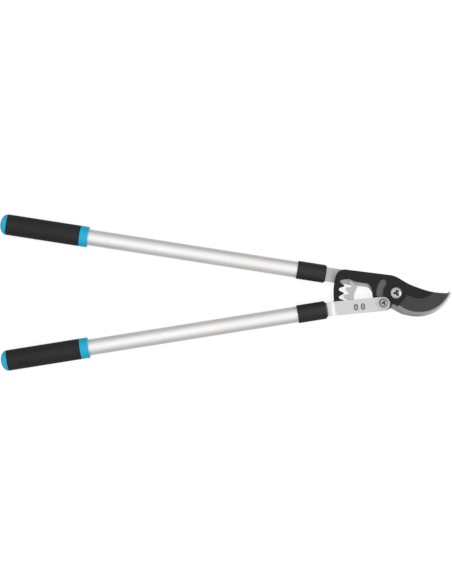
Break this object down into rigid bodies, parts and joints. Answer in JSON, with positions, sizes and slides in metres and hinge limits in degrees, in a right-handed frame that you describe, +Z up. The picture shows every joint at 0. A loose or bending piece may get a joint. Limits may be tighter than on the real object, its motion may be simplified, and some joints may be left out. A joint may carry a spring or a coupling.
{
  "type": "bypass loppers",
  "caption": "Long-handled bypass loppers: a curved blade with an inner gear ring, driven past a hooked counter-blade by a toothed lever.",
  "frame": {"origin": "on the blade's pivot axis, at the back face of the pivot nut, which lies on the surface that the tool rests on", "axes": "+X from the grips towards the jaws, along the tool's middle; +Y across the tool, towards the handle that carries the hook; +Z up, out of the face of the blade"},
  "size_m": [0.7527, 0.2603, 0.028],
  "materials": {
    "blade_coated": "satin black low-friction coating, bare steel at the sharpened bevel",
    "hook_steel": "blasted and satin",
    "lever_steel": "blasted and satin",
    "sector_steel": "satin, machined teeth",
    "bolt_chrome": "polished",
    "zinc_steel": "zinc plated",
    "bush_bronze": "oiled bronze",
    "tube_aluminium": "satin anodised",
    "black_nylon": "fine matte",
    "blue_plastic": "semi gloss",
    "black_rubber": "soft matte"
  },
  "bodies": {
    "hook_side": {"hook": "hook_steel", "pivot_bolt": "bolt_chrome", "pivot_bush": "bush_bronze", "pivot_washer": "zinc_steel", "pivot_nut": "zinc_steel", "lever_bolt": "bolt_chrome", "lever_bush": "bush_bronze", "lever_washer": "zinc_steel", "lever_nut": "zinc_steel", "upper_tube": "tube_aluminium", "upper_ferrule": "black_nylon", "upper_tang_insert": "black_nylon", "upper_tang_rivets": "zinc_steel", "upper_grip_core": "blue_plastic", "upper_grip_sleeve": "black_rubber"},
    "lever_side": {"lever": "lever_steel", "gear_sector": "sector_steel", "sector_rivets": "zinc_steel", "lower_tube": "tube_aluminium", "lower_ferrule": "black_nylon", "lower_tang_insert": "black_nylon", "lower_tang_rivets": "zinc_steel", "lower_grip_core": "blue_plastic", "lower_grip_sleeve": "black_rubber"},
    "blade": {"blade": "blade_coated"}
  },
  "joints": [
    {"name": "lever_hinge", "type": "hinge", "parent": "hook_side", "child": "lever_side", "pos_m": [-0.02131, -0.01653, 0.0188], "axis": [0, 0, 1], "range_deg": [0, 66]},
    {"name": "blade_hinge", "type": "hinge", "parent": "hook_side", "child": "blade", "pos_m": [0, 0, 0.014], "axis": [0, 0, 1], "range_deg": [0, 47]}
  ],
  "couplings": [
    {"joint": "blade_hinge", "follows": "lever_hinge", "ratio": 0.70455}
  ]
}
